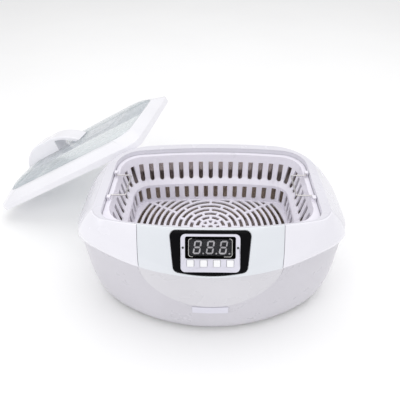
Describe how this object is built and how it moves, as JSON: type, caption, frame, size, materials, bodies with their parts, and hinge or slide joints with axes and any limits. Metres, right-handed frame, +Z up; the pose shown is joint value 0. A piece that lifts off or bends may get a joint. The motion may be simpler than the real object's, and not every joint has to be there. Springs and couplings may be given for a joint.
{
  "type": "ultrasonic cleaner",
  "caption": "Desktop ultrasonic cleaning bath with a lift-out slotted basket, wire bails, a digital control panel and a loose lid leaning beside it.",
  "frame": {"origin": "on the table, under the middle of the tank", "axes": "+X to the user's right, +Y to the back, +Z up"},
  "size_m": [0.5086, 0.3948, 0.1614],
  "materials": {
    "housing_lower": "satin moulded plastic, pale grey",
    "housing_white": "glossy moulded plastic, white",
    "panel_grey": "glossy moulded plastic, light blue grey",
    "bezel_black": "glossy black",
    "panel_silver": "satin silver-lavender",
    "window_black": "polished smoked window",
    "button_white": "semi-gloss",
    "digit_grey": "diffuse light-grey segments",
    "black_plastic": "moulded",
    "stainless": "drawn and satin polished",
    "screw_steel": "zinc plated",
    "copper": "bare copper",
    "aluminium": "as turned",
    "ceramic": "fired piezo ceramic",
    "rubber": "soft matte",
    "silicone": "translucent pale silicone",
    "board_green": "solder mask",
    "basket_white": "satin moulded plastic",
    "wire_steel": "bright stainless wire",
    "lid_white": "glossy moulded plastic, white",
    "lid_clear": "clear moulded styrene",
    "lens_green": "unlit lens"
  },
  "bodies": {
    "housing": {"base_shell": "housing_lower", "base_plate": "black_plastic", "rubber_feet": "rubber", "base_screws": "screw_steel", "top_cover": "housing_white", "visor_left": "housing_white", "visor_right": "housing_white", "centre_panel": "panel_grey", "display_bezel": "bezel_black", "chin_panel": "panel_grey", "nameplate": "panel_silver", "tank": "stainless", "tank_gasket": "silicone", "transducer_front_masses": "aluminium", "piezo_rings": "ceramic", "electrode_rings": "copper", "transducer_back_masses": "stainless", "transducer_bolts": "screw_steel", "heater_pad": "silicone", "thermostat": "aluminium", "control_frame": "panel_silver", "display_window": "window_black", "digit_display": "black_plastic", "digit_segments": "digit_grey", "control_board": "board_green", "indicator_leds": "lens_green", "tact_switches": "black_plastic", "board_posts": "housing_white", "generator_board": "board_green", "board_standoffs": "black_plastic", "heatsink": "aluminium", "transformer": "copper", "capacitors": "black_plastic", "mains_inlet": "black_plastic", "inlet_pins": "screw_steel", "fan_frame": "black_plastic", "fan_motor": "black_plastic"},
    "basket": {"basket": "basket_white"},
    "bail_left": {"bail_left": "wire_steel"},
    "bail_right": {"bail_right": "wire_steel"},
    "lid": {"lid_frame": "lid_white", "lid_window": "lid_clear", "lid_handle": "lid_white"},
    "button_on": {"button_on": "button_white"},
    "button_off": {"button_off": "button_white"},
    "button_set": {"button_set": "button_white"},
    "button_heat": {"button_heat": "button_white"},
    "fan_rotor": {"fan_rotor": "black_plastic"}
  },
  "joints": [
    {"name": "basket_lift", "type": "slide", "parent": "housing", "child": "basket", "axis": [0, 0, 1], "range_m": [0, 0.12]},
    {"name": "bail_left_swing", "type": "hinge", "parent": "basket", "child": "bail_left", "pos_m": [-0.1171, 0, 0.1544], "axis": [0, -1, 0], "range_deg": [0, 90]},
    {"name": "bail_right_swing", "type": "hinge", "parent": "basket", "child": "bail_right", "pos_m": [0.1171, 0, 0.1544], "axis": [0, 1, 0], "range_deg": [0, 90]},
    {"name": "lid_lift", "type": "slide", "parent": "housing", "child": "lid", "axis": [0, 0, 1], "range_m": [0, 0.15]},
    {"name": "button_on_press", "type": "slide", "parent": "housing", "child": "button_on", "axis": [0, 0.8262, -0.5634], "range_m": [0, 0.0008], "stiffness_N_per_m": 500},
    {"name": "button_off_press", "type": "slide", "parent": "housing", "child": "button_off", "axis": [0, 0.8262, -0.5634], "range_m": [0, 0.0008], "stiffness_N_per_m": 500},
    {"name": "button_set_press", "type": "slide", "parent": "housing", "child": "button_set", "axis": [0, 0.8262, -0.5634], "range_m": [0, 0.0008], "stiffness_N_per_m": 500},
    {"name": "button_heat_press", "type": "slide", "parent": "housing", "child": "button_heat", "axis": [0, 0.8262, -0.5634], "range_m": [0, 0.0008], "stiffness_N_per_m": 500},
    {"name": "fan_spin", "type": "hinge", "parent": "housing", "child": "fan_rotor", "pos_m": [0, 0, 0.0174], "axis": [0, 0, 1], "continuous": true}
  ]
}
